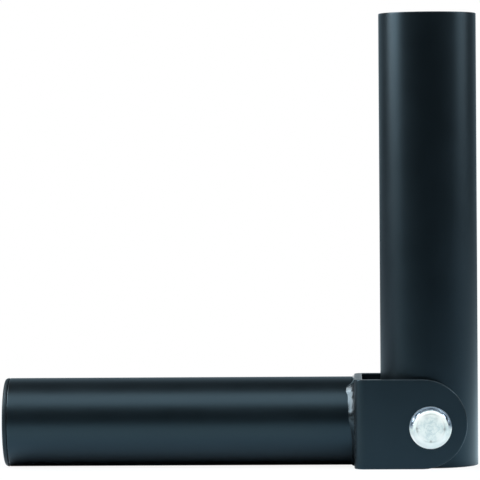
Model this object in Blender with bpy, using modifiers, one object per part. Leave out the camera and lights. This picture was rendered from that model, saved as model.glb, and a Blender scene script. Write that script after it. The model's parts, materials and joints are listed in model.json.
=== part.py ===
"""Barbell pivot base: a post that drops into a weight plate, with a hinged sleeve for the end of a bar.

The post lies along -X, its sleeve stands up +Z, and both rest on the floor at z = 0. The origin is
the middle of the clevis web's lower edge. The hinge axis runs along Y. All sizes are in metres.
"""

import math

import bmesh
import bpy
from mathutils import Matrix

# Post: steel tube that fits the hole of a weight plate
POST_DIAMETER = 0.050
POST_WALL = 0.0025
POST_LENGTH = 0.1953
TUBE_EDGE_BREAK = 0.0004

# Weld between the post and the clevis
WELD_LEG = 0.0042
WELD_RISE = 0.0034
WELD_BULGE = 0.0005
WELD_PREP_DEPTH = 0.0018
WELD_PREP_LENGTH = 0.0028

# Plastic plug in the post's free end
CAP_FLANGE = 0.0024
CAP_EDGE_RADIUS = 0.0014
CAP_PLUG_LENGTH = 0.020
CAP_PLUG_WALL = 0.0018
CAP_RIB_COUNT = 5
CAP_RIB_HEIGHT = 0.0011
CAP_RIB_THICKNESS = 0.0009

# Clevis: flat bar bent to a U, with full-round cheeks
STRIP_THICKNESS = 0.0045
BEND_INNER_RADIUS = 0.0016
STRIP_EDGE_RADIUS = 0.00045
SIDE_CLEARANCE = 0.0012
NOSE_OFFSET = 0.0045
PIVOT_DROP = 0.0018
SWING_CLEARANCE = 0.0020

# Sleeve: tube that takes the end of a bar
SLEEVE_BORE = 0.051
SLEEVE_WALL = 0.002
SLEEVE_LENGTH = 0.255

# Bush welded across the foot of the sleeve
BUSH_WALL = 0.00275
BUSH_END_PLAY = 0.0005
BUSH_WELD_LEG = 0.0028
BUSH_WELD_RISE = 0.0026

# Cup head bolt with a square neck, washer and lock nut
BOLT_DIAMETER = 0.010
BOLT_HEAD_DIAMETER = 0.0236
BOLT_HEAD_HEIGHT = 0.0048
BOLT_HEAD_RIM = 0.0011
BOLT_TIP_CHAMFER = 0.0011
BOLT_TAIL = 0.0022
WASHER_DIAMETER = 0.020
WASHER_THICKNESS = 0.002
NUT_ACROSS_FLATS = 0.017
NUT_HEIGHT = 0.010
NUT_COLLAR_HEIGHT = 0.0034
NUT_COLLAR_INSET = 0.0010
NUT_CORNER_CHAMFER = 0.0006
NUT_RING_DEPTH = 0.0026
NUT_RING_WALL = 0.0014
NUT_LIP_REACH = 0.0006
NUT_LIP_THICKNESS = 0.0004

# Gaps kept in the solids
SEAT_GAP = 0.0003
RUNNING_GAP = 0.0003
CUT_MARGIN = 0.004

# Faces round a full turn
TUBE_STEPS = 64
BORE_STEPS = 32
BEND_STEPS = 6
NOSE_STEPS = 36
EDGE_STEPS = 3
DOME_STEPS = 6

# Sizes that follow from the ones above
post_radius = POST_DIAMETER / 2
strip_height = POST_DIAMETER
post_axis_z = strip_height / 2
sleeve_radius = SLEEVE_BORE / 2 + SLEEVE_WALL
pivot_z = post_axis_z - PIVOT_DROP
web_back_x = -STRIP_THICKNESS / 2
web_front_x = STRIP_THICKNESS / 2
pivot_x = web_front_x + math.hypot(sleeve_radius, pivot_z) + SWING_CLEARANCE
nose_centre_x = pivot_x - NOSE_OFFSET
cheek_inner_y = sleeve_radius + SIDE_CLEARANCE
cheek_outer_y = cheek_inner_y + STRIP_THICKNESS
bolt_radius = BOLT_DIAMETER / 2
bolt_hole_radius = bolt_radius + RUNNING_GAP
bush_radius = bolt_hole_radius + BUSH_WALL
post_bore_radius = post_radius - POST_WALL
washer_y = cheek_outer_y + SEAT_GAP
nut_y = washer_y + WASHER_THICKNESS + SEAT_GAP
bolt_tip_y = nut_y + NUT_HEIGHT + BOLT_TAIL
head_seat_y = -cheek_outer_y - SEAT_GAP

# Turns that lay a piece's own z axis along a direction
ALONG = {
    "+Z": (0.0, 0.0, 0.0),
    "-X": (0.0, -math.pi / 2, 0.0),
    "-Y": (math.pi / 2, 0.0, 0.0),
    "+Y": (-math.pi / 2, 0.0, 0.0),
}


def clear_scene():
    """Removes whatever the file holds, and returns the collections for the pieces and the cutters."""
    for old in list(bpy.data.objects):
        bpy.data.objects.remove(old, do_unlink=True)
    groups = []
    for name in ("barbell_pivot_base", "cutters"):
        group = bpy.data.collections.new(name)
        bpy.context.scene.collection.children.link(group)
        groups.append(group)
    return groups


def make_material(name, colour, roughness, metallic):
    """A Principled material of one colour."""
    made = bpy.data.materials.new(name)
    made.use_nodes = True
    shader = made.node_tree.nodes["Principled BSDF"]
    shader.inputs["Base Color"].default_value = (*colour, 1.0)
    shader.inputs["Roughness"].default_value = roughness
    shader.inputs["Metallic"].default_value = metallic
    return made


def arc(centre, radius, start, end, steps):
    """Points on a circle from one angle to another, both ends included, in degrees."""
    points = []
    for i in range(steps + 1):
        angle = math.radians(start + (end - start) * i / steps)
        points.append((centre[0] + radius * math.cos(angle), centre[1] + radius * math.sin(angle)))
    return points


def ring_profile(inner, outer, low, high, edge):
    """The section of a tube with broken edges, down its outer side and up its bore."""
    return [
        (outer - edge, high),
        (outer, high - edge),
        (outer, low + edge),
        (outer - edge, low),
        (inner + edge, low),
        (inner, low + edge),
        (inner, high - edge),
        (inner + edge, high),
    ]


def add_object(name, data, group, location, along, parent):
    """An object in a group, laid along a direction."""
    made = bpy.data.objects.new(name, data)
    group.objects.link(made)
    made.parent = parent
    made.location = location
    made.rotation_euler = ALONG[along]
    return made


def turned(name, profile, group, location=(0, 0, 0), along="+Z", steps=TUBE_STEPS, parent=None):
    """A turned piece. A profile of (radius, height) that starts on the axis is open, any other a loop."""
    mesh = bpy.data.meshes.new(name)
    count = len(profile)
    edges = [(i, i + 1) for i in range(count - 1)]
    if profile[0][0] > 0:
        edges.append((count - 1, 0))
    mesh.from_pydata([(radius, 0.0, height) for radius, height in profile], edges, [])
    made = add_object(name, mesh, group, location, along, parent)
    screw = made.modifiers.new("turn", "SCREW")
    screw.axis = "Z"
    screw.angle = math.tau
    screw.steps = steps
    screw.render_steps = steps
    screw.use_merge_vertices = True
    screw.merge_threshold = 0.000005
    return made


def block(name, size, group, location, along="+Z", parent=None):
    """A box of a given size round its own centre."""
    mesh = bpy.data.meshes.new(name)
    shape = bmesh.new()
    bmesh.ops.create_cube(shape, size=1.0, matrix=Matrix.Diagonal((*size, 1.0)))
    shape.to_mesh(mesh)
    shape.free()
    return add_object(name, mesh, group, location, along, parent)


def prism(name, sides, across_flats, low, high, group, location, along):
    """A prism between two heights, with one flat facing +X."""
    mesh = bpy.data.meshes.new(name)
    shape = bmesh.new()
    corner = across_flats / 2 / math.cos(math.pi / sides)
    bmesh.ops.create_cone(
        shape, cap_ends=True, segments=sides, radius1=corner, radius2=corner, depth=high - low
    )
    half_side = Matrix.Rotation(math.pi / sides, 4, "Z")
    raised = Matrix.Translation((0, 0, (low + high) / 2))
    bmesh.ops.transform(shape, matrix=raised @ half_side, verts=shape.verts)
    shape.to_mesh(mesh)
    shape.free()
    return add_object(name, mesh, group, location, along, None)


def slab(name, outline, thickness, group, location, along="+Z"):
    """A flat outline given its thickness on both sides, as a closed mesh."""
    curve = bpy.data.curves.new(name, "CURVE")
    curve.dimensions = "2D"
    curve.fill_mode = "BOTH"
    curve.extrude = thickness / 2
    spline = curve.splines.new("POLY")
    spline.points.add(len(outline) - 1)
    for point, (x, y) in zip(spline.points, outline):
        point.co = (x, y, 0.0, 1.0)
    spline.use_cyclic_u = True
    drawn = add_object(name + "_outline", curve, group, location, along, None)
    bpy.context.view_layer.update()
    mesh = bpy.data.meshes.new_from_object(drawn.evaluated_get(bpy.context.evaluated_depsgraph_get()))
    shape = bmesh.new()
    shape.from_mesh(mesh)
    bmesh.ops.remove_doubles(shape, verts=shape.verts, dist=0.000001)
    bmesh.ops.recalc_face_normals(shape, faces=shape.faces)
    shape.to_mesh(mesh)
    shape.free()
    made = bpy.data.objects.new(name, mesh)
    group.objects.link(made)
    made.matrix_world = drawn.matrix_world.copy()
    bpy.data.objects.remove(drawn, do_unlink=True)
    return made


def combine(piece, tool, operation="DIFFERENCE"):
    """Cuts, keeps or joins a piece with a tool, which is hidden."""
    tool.hide_render = True
    tool.display_type = "WIRE"
    step = piece.modifiers.new(tool.name, "BOOLEAN")
    step.operation = operation
    step.solver = "EXACT"
    step.object = tool


def dress(piece, material):
    """Turns a piece's modifiers into its mesh, shades its round faces smooth and gives it a material."""
    bpy.context.view_layer.update()
    mesh = bpy.data.meshes.new_from_object(piece.evaluated_get(bpy.context.evaluated_depsgraph_get()))
    mesh.name = piece.name
    mesh.shade_smooth()
    mesh.set_sharp_from_angle(angle=math.radians(32))
    mesh.materials.clear()
    mesh.materials.append(material)
    piece.modifiers.clear()
    piece.data = mesh


def make_post_tube(parts):
    """Tube of the post, with a groove turned on the end that is welded."""
    inner = post_bore_radius
    low = SEAT_GAP
    high = POST_LENGTH
    profile = [
        (post_radius - TUBE_EDGE_BREAK, high),
        (post_radius, high - TUBE_EDGE_BREAK),
        (post_radius, low + WELD_PREP_LENGTH),
        (post_radius - WELD_PREP_DEPTH, low),
        (inner, low),
        (inner, high - TUBE_EDGE_BREAK),
        (inner + TUBE_EDGE_BREAK, high),
    ]
    return turned("post_tube", profile, parts, (web_back_x, 0, post_axis_z), "-X")


def make_post_weld(parts, cutters):
    """Fillet round the post's foot, cut level with the strip's two edges."""
    root = post_radius - WELD_PREP_DEPTH + SEAT_GAP
    toe = WELD_LEG
    crest = post_radius + WELD_RISE
    face = []
    for i in range(1, EDGE_STEPS + 3):
        t = i / (EDGE_STEPS + 3)
        swell = WELD_BULGE * math.sin(math.pi * t)
        face.append(
            (
                post_radius + 2 * SEAT_GAP + (crest - post_radius - 2 * SEAT_GAP) * t + swell,
                toe + (2 * SEAT_GAP - toe) * t + swell,
            )
        )
    profile = [
        (post_radius + SEAT_GAP, toe),
        (post_radius + 2 * SEAT_GAP, toe),
        *face,
        (crest, 2 * SEAT_GAP),
        (crest, SEAT_GAP),
        (root, SEAT_GAP),
        (post_radius + SEAT_GAP, SEAT_GAP + WELD_PREP_LENGTH),
    ]
    weld = turned("post_weld", profile, parts, (web_back_x, 0, post_axis_z), "-X")
    width = 2 * (crest + CUT_MARGIN)
    level = block("weld_level", (width, width, strip_height), cutters, (web_back_x, 0, post_axis_z))
    combine(weld, level, "INTERSECT")
    return weld


def make_end_cap(parts):
    """Plug with a rounded flange, gripping ribs and a hollow back."""
    flange_back = -CAP_FLANGE
    tip = flange_back - CAP_PLUG_LENGTH
    rib_radius = post_bore_radius - SEAT_GAP
    plug_radius = rib_radius - CAP_RIB_HEIGHT
    pitch = CAP_PLUG_LENGTH / (CAP_RIB_COUNT + 0.5)
    edge = CAP_EDGE_RADIUS
    profile = [(0.0, 0.0)]
    profile += arc((post_radius - edge, -edge), edge, 90, 0, EDGE_STEPS + 1)
    profile += [(post_radius, flange_back), (plug_radius, flange_back)]
    for i in range(CAP_RIB_COUNT):
        top = flange_back - pitch * (i + 0.75)
        profile += [
            (plug_radius, top),
            (rib_radius, top - CAP_RIB_THICKNESS / 2),
            (rib_radius, top - CAP_RIB_THICKNESS),
            (plug_radius, top - 2 * CAP_RIB_THICKNESS),
        ]
    profile += [
        (plug_radius, tip),
        (plug_radius - CAP_PLUG_WALL, tip),
        (plug_radius - CAP_PLUG_WALL, flange_back),
        (0.0, flange_back),
    ]
    end_x = web_back_x - POST_LENGTH - SEAT_GAP - CAP_FLANGE
    return turned("post_end_cap", profile, parts, (end_x, 0, post_axis_z), "-X")


def clevis_outline():
    """The bent strip seen from above, longer than its noses."""
    bend_outer_radius = BEND_INNER_RADIUS + STRIP_THICKNESS
    tip_x = nose_centre_x + strip_height / 2 + CUT_MARGIN
    bend_x = web_back_x + bend_outer_radius
    bend_y = cheek_outer_y - bend_outer_radius
    return [
        (tip_x, cheek_outer_y),
        *arc((bend_x, bend_y), bend_outer_radius, 90, 180, BEND_STEPS),
        *arc((bend_x, -bend_y), bend_outer_radius, 180, 270, BEND_STEPS),
        (tip_x, -cheek_outer_y),
        (tip_x, -cheek_inner_y),
        *arc((bend_x, -bend_y), BEND_INNER_RADIUS, 270, 180, BEND_STEPS),
        *arc((bend_x, bend_y), BEND_INNER_RADIUS, 180, 90, BEND_STEPS),
        (tip_x, cheek_inner_y),
    ]


def make_clevis(parts, cutters):
    """Strip bent to a U, with round noses, a square hole in front and a round one behind."""
    tall = strip_height + 2 * CUT_MARGIN
    clevis = slab("clevis_bracket", clevis_outline(), tall, parts, (0, 0, post_axis_z))
    back_x = web_back_x - CUT_MARGIN
    side = [
        (back_x, 0.0),
        *arc((nose_centre_x, post_axis_z), strip_height / 2, -90, 90, NOSE_STEPS),
        (back_x, strip_height),
    ]
    across = 2 * (cheek_outer_y + CUT_MARGIN)
    combine(clevis, slab("cheek_side", side, across, cutters, (0, 0, 0), "-Y"), "INTERSECT")
    reach = STRIP_THICKNESS + CUT_MARGIN
    cheek_mid_y = (cheek_inner_y + cheek_outer_y) / 2
    square = 2 * (bolt_radius + SEAT_GAP)
    combine(clevis, block("neck_hole", (square, reach, square), cutters, (pivot_x, -cheek_mid_y, pivot_z)))
    hole = [(0.0, reach / 2), (bolt_hole_radius, reach / 2), (bolt_hole_radius, -reach / 2), (0.0, -reach / 2)]
    place = (pivot_x, cheek_mid_y, pivot_z)
    combine(clevis, turned("nut_side_hole", hole, cutters, place, "+Y", BORE_STEPS))
    edges = clevis.modifiers.new("edges", "BEVEL")
    edges.width = STRIP_EDGE_RADIUS
    edges.segments = 2
    edges.limit_method = "ANGLE"
    edges.angle_limit = math.radians(50)
    return clevis


def make_bolt(parts, cutters):
    """Cup head bolt: low dome, square neck in the front cheek, round shank to the nut."""
    dome_foot = BOLT_HEAD_DIAMETER / 2
    crown = BOLT_HEAD_HEIGHT - BOLT_HEAD_RIM
    dome_radius = (dome_foot**2 + crown**2) / (2 * crown)
    spread = math.degrees(math.asin(dome_foot / dome_radius))
    dome = arc((0.0, BOLT_HEAD_HEIGHT - dome_radius), dome_radius, 90, 90 - spread, DOME_STEPS)
    tip = head_seat_y - bolt_tip_y
    profile = [
        (0.0, BOLT_HEAD_HEIGHT),
        *dome[1:],
        (dome_foot, BOLT_HEAD_RIM * 0.35),
        (dome_foot - BOLT_HEAD_RIM * 0.35, 0.0),
        (bolt_radius, 0.0),
        (bolt_radius, tip + BOLT_TIP_CHAMFER),
        (bolt_radius - BOLT_TIP_CHAMFER, tip),
        (0.0, tip),
    ]
    place = (pivot_x, head_seat_y, pivot_z)
    bolt = turned("pivot_bolt", profile, parts, place, "-Y", 2 * BORE_STEPS)
    neck_end = SEAT_GAP + STRIP_THICKNESS
    neck_start = -BOLT_HEAD_RIM / 2
    neck_place = (pivot_x, head_seat_y + (neck_start + neck_end) / 2, pivot_z)
    neck = block("square_neck", (BOLT_DIAMETER, neck_end - neck_start, BOLT_DIAMETER), cutters, neck_place)
    combine(bolt, neck, "UNION")
    return bolt


def make_washer(parts):
    """Plain washer under the nut."""
    edge = WASHER_THICKNESS / 10
    profile = ring_profile(bolt_hole_radius, WASHER_DIAMETER / 2, 0.0, WASHER_THICKNESS, edge)
    return turned("nut_washer", profile, parts, (pivot_x, washer_y, pivot_z), "+Y", 2 * BORE_STEPS)


def make_lock_nut(parts, cutters):
    """Hexagon nut with a round collar that is turned in over its locking ring."""
    place = (pivot_x, nut_y, pivot_z)
    low = -CUT_MARGIN
    high = NUT_HEIGHT + CUT_MARGIN
    nut = prism("lock_nut", 6, NUT_ACROSS_FLATS, low, high, parts, place, "+Y")
    corner = NUT_ACROSS_FLATS / 2 / math.cos(math.pi / 6)
    seat = NUT_ACROSS_FLATS / 2 - NUT_CORNER_CHAMFER
    hex_top = NUT_HEIGHT - NUT_COLLAR_HEIGHT
    collar = NUT_ACROSS_FLATS / 2 - NUT_COLLAR_INSET
    round_off = NUT_COLLAR_HEIGHT / 3
    envelope = [
        (0.0, NUT_HEIGHT),
        *arc((collar - round_off, NUT_HEIGHT - round_off), round_off, 90, 0, EDGE_STEPS),
        (collar, hex_top + NUT_CORNER_CHAMFER),
        (corner, hex_top - NUT_CORNER_CHAMFER),
        (corner + CUT_MARGIN, hex_top - NUT_CORNER_CHAMFER),
        (corner + CUT_MARGIN, NUT_CORNER_CHAMFER * 2),
        (corner, NUT_CORNER_CHAMFER * 2),
        (seat, 0.0),
        (0.0, 0.0),
    ]
    combine(nut, turned("nut_envelope", envelope, cutters, place, "+Y", 2 * BORE_STEPS), "INTERSECT")
    groove = bolt_hole_radius + NUT_RING_WALL + SEAT_GAP
    groove_top = NUT_HEIGHT - NUT_LIP_THICKNESS
    groove_foot = groove_top - NUT_RING_DEPTH - 2 * SEAT_GAP
    bore = [
        (0.0, high),
        (groove - NUT_LIP_REACH, high),
        (groove - NUT_LIP_REACH, groove_top),
        (groove, groove_top),
        (groove, groove_foot),
        (bolt_hole_radius, groove_foot),
        (bolt_hole_radius, low),
        (0.0, low),
    ]
    combine(nut, turned("nut_bore", bore, cutters, place, "+Y", BORE_STEPS))
    return nut


def make_lock_ring(parts):
    """Nylon ring held in the nut's collar."""
    high = NUT_HEIGHT - NUT_LIP_THICKNESS - SEAT_GAP
    low = high - NUT_RING_DEPTH
    inner = bolt_hole_radius
    profile = ring_profile(inner, inner + NUT_RING_WALL, low, high, NUT_RING_WALL / 10)
    return turned("lock_nut_ring", profile, parts, (pivot_x, nut_y, pivot_z), "+Y", BORE_STEPS)


def make_sleeve(parts, cutters, pivot):
    """Tube that stands on the floor, with a hole on each side for its bush."""
    inner = SLEEVE_BORE / 2
    profile = ring_profile(inner, sleeve_radius, 0.0, SLEEVE_LENGTH, TUBE_EDGE_BREAK)
    sleeve = turned("bar_sleeve", profile, parts, (0, 0, -pivot_z), parent=pivot)
    reach = sleeve_radius + CUT_MARGIN
    hole_radius = bush_radius + SEAT_GAP
    hole = [(0.0, reach), (hole_radius, reach), (hole_radius, -reach), (0.0, -reach)]
    combine(sleeve, turned("bush_hole", hole, cutters, (0, 0, 0), "+Y", BORE_STEPS, pivot))
    return sleeve


def make_bush(parts, pivot):
    """Short tube across the sleeve, which turns on the bolt and stops the end of the bar."""
    half = cheek_inner_y - BUSH_END_PLAY
    profile = ring_profile(bolt_hole_radius, bush_radius, -half, half, TUBE_EDGE_BREAK)
    return turned("pivot_bush", profile, parts, (0, 0, 0), "+Y", BORE_STEPS, pivot)


def make_bush_weld(name, along, parts, cutters, pivot):
    """Fillet round the bush inside the sleeve, shaped to the round of its bore."""
    inner = bush_radius + SEAT_GAP
    outer = inner + BUSH_WELD_RISE
    bore = SLEEVE_BORE / 2
    saddle = math.sqrt(bore**2 - outer**2)
    toe = saddle - BUSH_WELD_LEG
    profile = [
        (outer, bore),
        (outer, saddle - BUSH_WELD_LEG / 4),
        (inner + BUSH_WELD_RISE / 4, toe),
        (inner, toe),
        (inner, bore),
    ]
    weld = turned(name, profile, parts, (0, 0, 0), along, BORE_STEPS, pivot)
    height = outer + CUT_MARGIN
    fit = bore - SEAT_GAP
    core = [(0.0, height), (fit, height), (fit, -height), (0.0, -height)]
    combine(weld, turned(name + "_bore", core, cutters, (0, 0, 0), "+Z", TUBE_STEPS, pivot), "INTERSECT")
    return weld


def build():
    """Makes every piece, finishes its mesh and hides the cutters."""
    parts, cutters = clear_scene()
    coat = make_material("black powder coat", (0.016, 0.021, 0.025), 0.42, 0.0)
    plastic = make_material("black plastic", (0.018, 0.019, 0.020), 0.55, 0.0)
    zinc = make_material("zinc plate", (0.72, 0.75, 0.77), 0.24, 1.0)
    nylon = make_material("nylon", (0.62, 0.66, 0.70), 0.50, 0.0)

    pivot = bpy.data.objects.new("sleeve_pivot", None)
    pivot.location = (pivot_x, 0, pivot_z)
    pivot.empty_display_size = sleeve_radius
    parts.objects.link(pivot)

    finished = [
        (make_post_tube(parts), coat),
        (make_post_weld(parts, cutters), coat),
        (make_end_cap(parts), plastic),
        (make_clevis(parts, cutters), coat),
        (make_bolt(parts, cutters), zinc),
        (make_washer(parts), zinc),
        (make_lock_nut(parts, cutters), zinc),
        (make_lock_ring(parts), nylon),
        (make_sleeve(parts, cutters, pivot), coat),
        (make_bush(parts, pivot), coat),
        (make_bush_weld("bush_weld_front", "-Y", parts, cutters, pivot), coat),
        (make_bush_weld("bush_weld_back", "+Y", parts, cutters, pivot), coat),
    ]
    for piece, material in finished:
        dress(piece, material)


build()
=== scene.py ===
"""Barbell pivot base: the finished look of every piece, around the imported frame.

Each shape is a grid of points worked out with numpy from a formula. Sizes come from the frame's
boxes and its hinge, and the few that it doesn't hold are named below. All sizes are in metres.
"""

import json
import math

import bmesh
import bpy
import numpy as np
from mathutils import Matrix, Vector


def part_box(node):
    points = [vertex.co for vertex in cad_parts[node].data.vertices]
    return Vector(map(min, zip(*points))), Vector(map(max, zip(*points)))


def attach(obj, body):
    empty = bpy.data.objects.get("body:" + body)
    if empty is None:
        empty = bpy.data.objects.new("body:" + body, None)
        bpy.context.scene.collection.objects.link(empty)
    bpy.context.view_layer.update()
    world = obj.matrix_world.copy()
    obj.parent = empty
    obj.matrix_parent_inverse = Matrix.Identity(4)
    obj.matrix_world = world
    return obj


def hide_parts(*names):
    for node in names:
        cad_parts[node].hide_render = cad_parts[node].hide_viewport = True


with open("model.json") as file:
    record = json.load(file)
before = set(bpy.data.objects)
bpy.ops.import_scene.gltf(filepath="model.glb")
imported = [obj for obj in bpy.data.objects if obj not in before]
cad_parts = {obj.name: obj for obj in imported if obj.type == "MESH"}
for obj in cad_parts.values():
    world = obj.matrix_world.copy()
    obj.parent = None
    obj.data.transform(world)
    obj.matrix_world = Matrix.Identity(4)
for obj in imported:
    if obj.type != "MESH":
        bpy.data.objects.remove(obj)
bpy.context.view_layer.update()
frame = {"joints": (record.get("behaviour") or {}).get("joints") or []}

MM = 0.001
# How many points a full turn of a tube is cut into
STEPS = 256
# Points closer than this are one point
SAME = 1e-7

# Sizes read from the frame
post_low, post_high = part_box("post_tube")
cap_low, cap_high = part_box("post_end_cap")
strip_low, strip_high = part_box("clevis_bracket")
bolt_low, bolt_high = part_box("pivot_bolt")
washer_low, washer_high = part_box("nut_washer")
nut_low, nut_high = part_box("lock_nut")
ring_low, ring_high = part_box("lock_nut_ring")
sleeve_low, sleeve_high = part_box("bar_sleeve")
bush_low, bush_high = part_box("pivot_bush")
pivot = np.array(frame["joints"][0]["pos_m"])

post_radius = (post_high.z - post_low.z) / 2
post_axis_z = (post_high.z + post_low.z) / 2
strip_height = strip_high.z - strip_low.z
sleeve_radius = (sleeve_high.x - sleeve_low.x) / 2
bush_radius = (bush_high.x - bush_low.x) / 2
head_radius = (bolt_high.x - bolt_low.x) / 2

# Walls, holes and seams that the boxes don't hold
POST_WALL = 2.5 * MM
SLEEVE_WALL = 2.0 * MM
STRIP = 4.5 * MM
TUBE_LIP = 0.45 * MM
SEAM = 0.06 * MM
JOINT_GAP = 0.3 * MM
BOLT_RADIUS = 5.0 * MM
HOLE_RADIUS = 5.3 * MM
THREAD_PITCH = 1.5 * MM

# The bolt's head: where its crown and its shoulder end, and where its flange begins
crown_radius = 0.62 * head_radius
shoulder_radius = 0.86 * head_radius
flange_radius = 0.955 * head_radius

# Press marks in the crown: the hour on a clock's face, how far out as a share of the head's
# radius, the width in mm, and the depth as a share of the deepest
PRESS_MARKS = (
    (3.15, 0.65, 0.72, 1.0),
    (6.0, 0.62, 0.66, 0.9),
    (8.95, 0.64, 0.70, 0.9),
    (8.55, 0.64, 0.55, 0.8),
    (1.1, 0.55, 0.70, 0.4),
    (11.4, 0.58, 1.20, 0.25),
    (7.0, 0.80, 0.45, 0.3),
)

# An axis to turn round, and the two directions across it
ROUND = {
    "-X": ((-1, 0, 0), (0, 1, 0), (0, 0, 1)),
    "+X": ((1, 0, 0), (0, 1, 0), (0, 0, 1)),
    "+Y": ((0, 1, 0), (1, 0, 0), (0, 0, 1)),
    "+Z": ((0, 0, 1), (1, 0, 0), (0, 1, 0)),
}


# Lines and grids


def run(start, end, count=1, guard=0.2 * MM):
    """A straight stretch from start to end, cut evenly, with one point more close to each end."""
    start, end = np.array(start, float), np.array(end, float)
    length = np.linalg.norm(end - start)
    share = np.linspace(0, 1, count + 1)
    if length > 4 * guard:
        share = np.unique(np.append(share, [guard / length, 1 - guard / length]))
    return start + (end - start) * share[:, None]


def arc(centre, radius, start, end, count=6):
    """A stretch of a circle: centre + radius * (cos, sin) of angles from start to end, evenly."""
    angle = np.radians(np.linspace(start, end, count + 1))
    return np.stack([centre[0] + radius * np.cos(angle), centre[1] + radius * np.sin(angle)], 1)


def level(places, height):
    """Points at these places along, all at one height."""
    return np.stack([places, np.full(len(places), height)], 1)


def upright(place, heights):
    """Points at one place along, at these heights."""
    return np.stack([np.full(len(heights), place), heights], 1)


def join(*stretches, closed=False):
    """Stretches end to end as one line, without the points that repeat."""
    line = np.concatenate(stretches)
    gaps = np.linalg.norm(np.diff(line, axis=0), axis=1)
    line = line[np.append(True, gaps > SAME)]
    if closed and np.linalg.norm(line[0] - line[-1]) < SAME:
        line = line[:-1]
    return line


def bell(distance, width):
    """From 1 at no distance down to 0 past the width, as exp(-(distance / width) ^ 2)."""
    return np.exp(-((distance / width) ** 2))


def eased(share):
    """A share held within 0 and 1, with a soft start and end: 3 share^2 - 2 share^3."""
    share = np.clip(share, 0, 1)
    return share * share * (3 - 2 * share)


def stepped(start, steps, value):
    """A start with eased steps added, each as a size, the value it begins at and how long it takes."""
    return start + sum(size * eased((value - begin) / length) for size, begin, length in steps)


def thread_wave(height, turn):
    """A triangle wave from 0 to 1 up the height, which moves on by one thread pitch in each turn."""
    return np.abs(((height[:, None] / THREAD_PITCH - turn / math.tau) % 1) * 2 - 1)


def corner_share(line, closed, reach=0.9 * MM):
    """From 0 on straight stretches to 1 at a corner: the turns near each point, by a bell weight."""
    step = np.diff(line, axis=0, append=line[:1])
    heading = np.arctan2(step[:, 1], step[:, 0])
    turn = np.abs((heading - np.roll(heading, 1) + math.pi) % math.tau - math.pi)
    if not closed:
        turn[[0, -1]] = 0
    place = np.append(0, np.cumsum(np.linalg.norm(step, axis=1)))
    gap = np.abs(place[:-1, None] - place[None, :-1])
    if closed:
        gap = np.minimum(gap, place[-1] - gap)
    return np.clip((turn * bell(gap, reach)).sum(1) / (math.pi / 2), 0, 1)


def full_turn(steps):
    """The angles of a full turn, cut evenly."""
    return np.arange(steps) * math.tau / steps


def carried_round(radius, height, centre, along, steps=STEPS):
    """A grid turned round an axis: centre + height * axis + radius * (cos t * side + sin t * up).

    radius and height hold a value for each row, or an array of rows by steps.
    """
    axis, side, up = (np.array(v, float) for v in ROUND[along])
    turn = full_turn(steps)
    spoke = np.cos(turn)[:, None] * side + np.sin(turn)[:, None] * up
    radius = np.broadcast_to(np.reshape(radius, (len(radius), -1)), (len(radius), steps))
    height = np.broadcast_to(np.reshape(height, (len(height), -1)), (len(height), steps))
    return np.array(centre) + height[..., None] * axis + radius[..., None] * spoke


def squared(angle, half, soft=12.0):
    """The reach of a square with softened corners: half / (|cos|^n + |sin|^n)^(1/n)."""
    return half / (np.abs(np.cos(angle)) ** soft + np.abs(np.sin(angle)) ** soft) ** (1 / soft)


def rounded(angle, radius):
    """The reach of a circle."""
    return np.full(angle.shape, radius)


def ringed(loop, centre, shape, half, rings):
    """A flat grid that grows from a hole to a loop round it, along rays from the hole's centre.

    The hole's edge is centre + shape(angle, half) * (cos angle, sin angle), at the angle of each
    point of the loop.
    """
    off = loop - centre
    angle = np.arctan2(off[:, 1], off[:, 0])
    hole = centre + shape(angle, half)[:, None] * np.stack([np.cos(angle), np.sin(angle)], 1)
    share = np.append(np.linspace(0, 0.98, rings), 1)[:, None, None]
    return hole + (loop - hole) * share


def ring_section(bore, outer, low, high, lip, levels=None, rows=1):
    """The closed section of a ring with rounded lips: outer side up, top, bore down and foot.

    The two sides are cut at the levels given, or else evenly into rows.
    """
    if levels is None:
        levels = run((0.0, low + lip), (0.0, high - lip), rows)[:, 1]
    return join(
        upright(outer, levels),
        arc((outer - lip, high - lip), lip, 0, 90),
        arc((bore + lip, high - lip), lip, 90, 180),
        upright(bore, levels[::-1]),
        arc((bore + lip, low + lip), lip, 180, 270),
        arc((outer - lip, low + lip), lip, 270, 360),
        closed=True,
    )


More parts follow.
